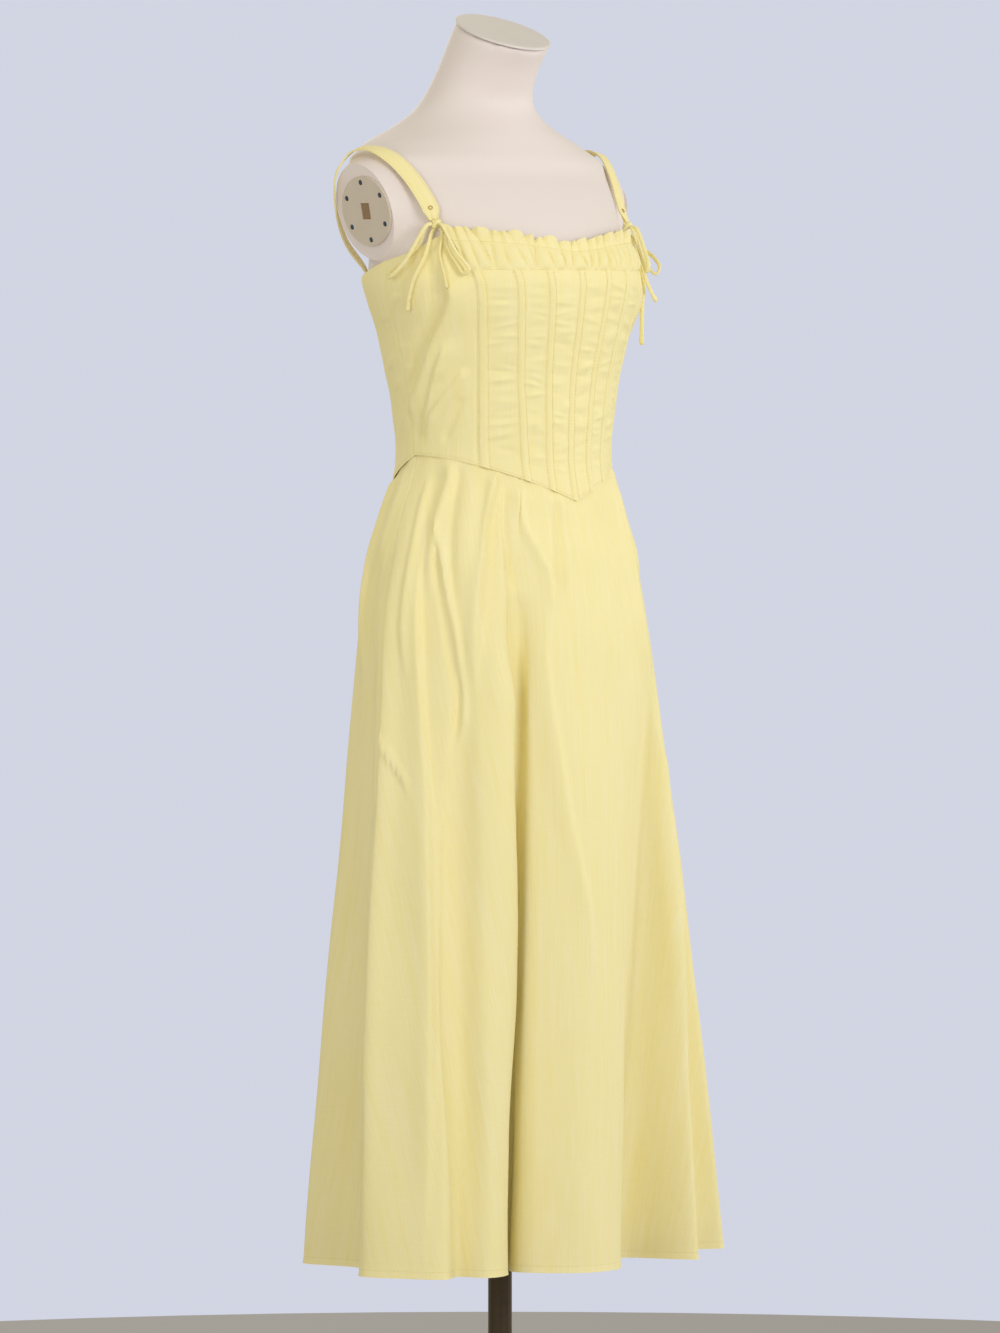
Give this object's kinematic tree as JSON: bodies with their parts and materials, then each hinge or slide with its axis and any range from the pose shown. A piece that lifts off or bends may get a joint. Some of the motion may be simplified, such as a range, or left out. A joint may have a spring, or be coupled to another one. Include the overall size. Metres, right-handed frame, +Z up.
{
  "type": "midi dress on a limbless dress form with stand",
  "caption": "Sleeveless midi dress with a boned corset bodice, neckline frill, shoulder ties and a full soft skirt, worn by a limbless dress form on a pole with a round base.",
  "frame": {"origin": "centre of the underside of the stand's base, where it rests on the floor; the pole stands on the Z axis", "axes": "+Z up, -Y towards the dress's front, +X towards the wearer's left"},
  "size_m": [0.4761, 0.34, 1.5642],
  "materials": {
    "cloth": "matte plain weave with fine slubs",
    "form": "matte skin-smooth cover",
    "plate": "satin",
    "bronze": "dark bronze gloss"
  },
  "bodies": {
    "root": {"front_panel": "cloth", "boning_channel_outer_right": "cloth", "boning_channel_middle_right": "cloth", "boning_channel_inner_right": "cloth", "boning_channel_centre": "cloth", "boning_channel_inner_left": "cloth", "boning_channel_middle_left": "cloth", "boning_channel_outer_left": "cloth", "side_front_right": "cloth", "side_front_left": "cloth", "back_right": "cloth", "back_left": "cloth", "neck_frill": "cloth", "strap_right": "cloth", "strap_left": "cloth", "tie_knot_right": "cloth", "tie_knot_left": "cloth", "tie_loop_a_right": "cloth", "tie_loop_b_right": "cloth", "tie_tail_a_right": "cloth", "tie_tail_b_right": "cloth", "tie_loop_a_left": "cloth", "tie_loop_b_left": "cloth", "tie_tail_a_left": "cloth", "tie_tail_b_left": "cloth", "skirt_front": "cloth", "skirt_back": "cloth", "form_torso": "form", "form_neck_cap": "form", "arm_plate_right": "plate", "arm_plate_left": "plate", "pole": "bronze", "base": "bronze"}
  },
  "joints": []
}
